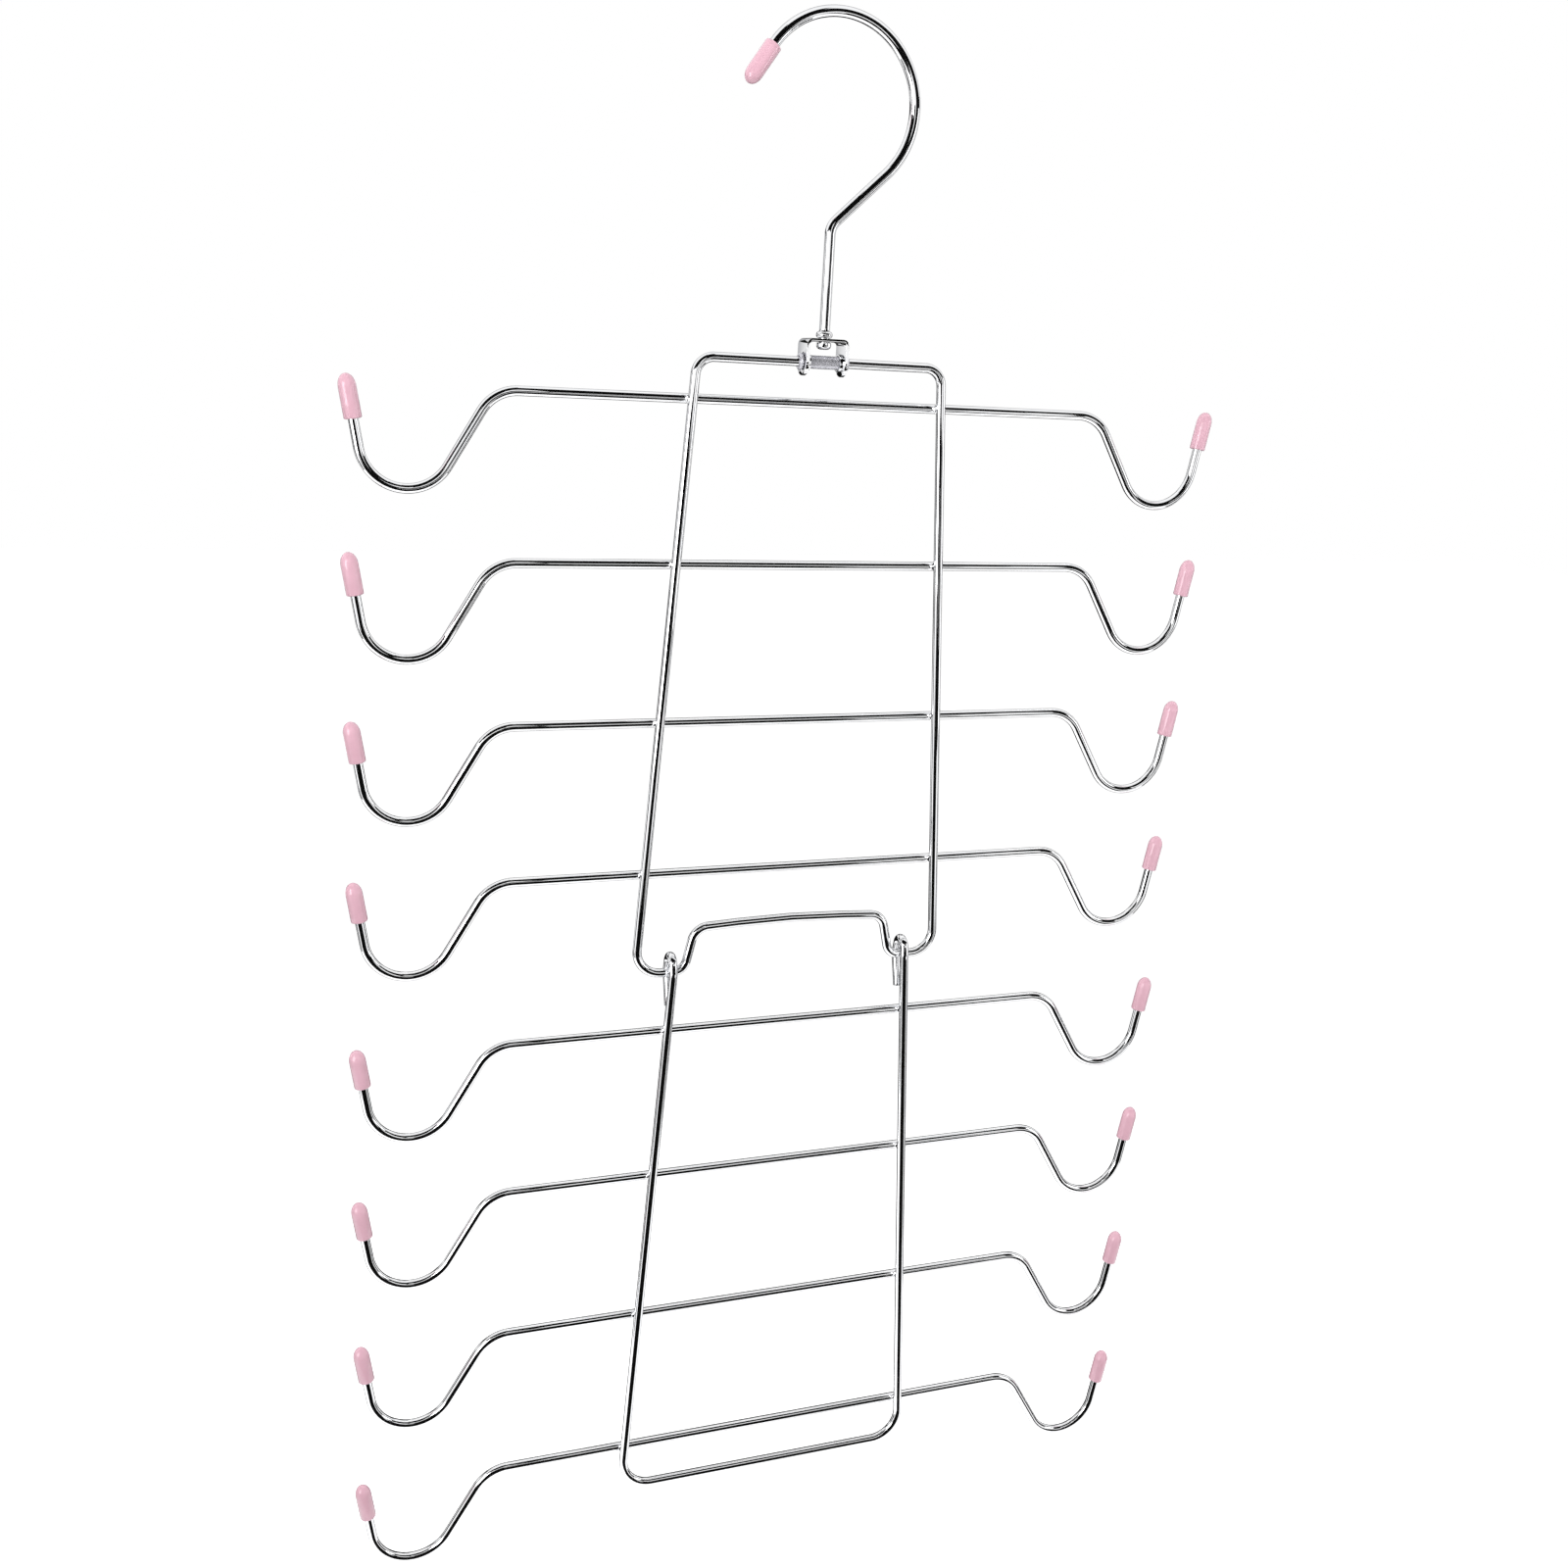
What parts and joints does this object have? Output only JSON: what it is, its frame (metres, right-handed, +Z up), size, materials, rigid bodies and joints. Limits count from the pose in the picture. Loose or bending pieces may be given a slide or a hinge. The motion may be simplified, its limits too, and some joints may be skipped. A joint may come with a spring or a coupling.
{
  "type": "delicates hanger",
  "caption": "Folding chrome wire hanger for delicates, with a swivel hook and hinged tiers of crossbars whose soft-capped end hooks hold straps.",
  "frame": {"origin": "rod seat: the inside top of the hanging hook's loop, on the stem's axis", "axes": "+X along the crossbars to the right as seen from the front, +Y to the back, +Z up along the stem"},
  "size_m": [0.2534, 0.0093, 0.4432],
  "materials": {
    "chrome": "bright chrome plate on drawn steel wire and strip",
    "plated_sleeve": "dull grey plated steel tube",
    "vinyl": "soft glossy pink dipped vinyl"
  },
  "bodies": {
    "hook": {"hanging_hook": "chrome", "hook_cap": "vinyl"},
    "yoke": {"swivel_yoke": "chrome"},
    "upper_section": {"pivot_sleeve": "plated_sleeve", "upper_frame": "chrome", "crossbar_1": "chrome", "crossbar_2": "chrome", "crossbar_3": "chrome", "crossbar_4": "chrome", "strap_cap_1_left": "vinyl", "strap_cap_1_right": "vinyl", "strap_cap_2_left": "vinyl", "strap_cap_2_right": "vinyl", "strap_cap_3_left": "vinyl", "strap_cap_3_right": "vinyl", "strap_cap_4_left": "vinyl", "strap_cap_4_right": "vinyl"},
    "lower_section": {"lower_frame": "chrome", "crossbar_5": "chrome", "crossbar_6": "chrome", "crossbar_7": "chrome", "crossbar_8": "chrome", "strap_cap_5_left": "vinyl", "strap_cap_5_right": "vinyl", "strap_cap_6_left": "vinyl", "strap_cap_6_right": "vinyl", "strap_cap_7_left": "vinyl", "strap_cap_7_right": "vinyl", "strap_cap_8_left": "vinyl", "strap_cap_8_right": "vinyl"}
  },
  "joints": [
    {"name": "hook_swivel", "type": "hinge", "parent": "hook", "child": "yoke", "pos_m": [0, 0, -0.07953], "axis": [0, 0, 1], "continuous": true},
    {"name": "yoke_tilt", "type": "hinge", "parent": "yoke", "child": "upper_section", "pos_m": [0, 0, -0.08573], "axis": [1, 0, 0], "range_deg": [-175, 148]},
    {"name": "section_fold", "type": "hinge", "parent": "upper_section", "child": "lower_section", "pos_m": [0, 0, -0.25793], "axis": [1, 0, 0], "range_deg": [-169, 160]}
  ]
}
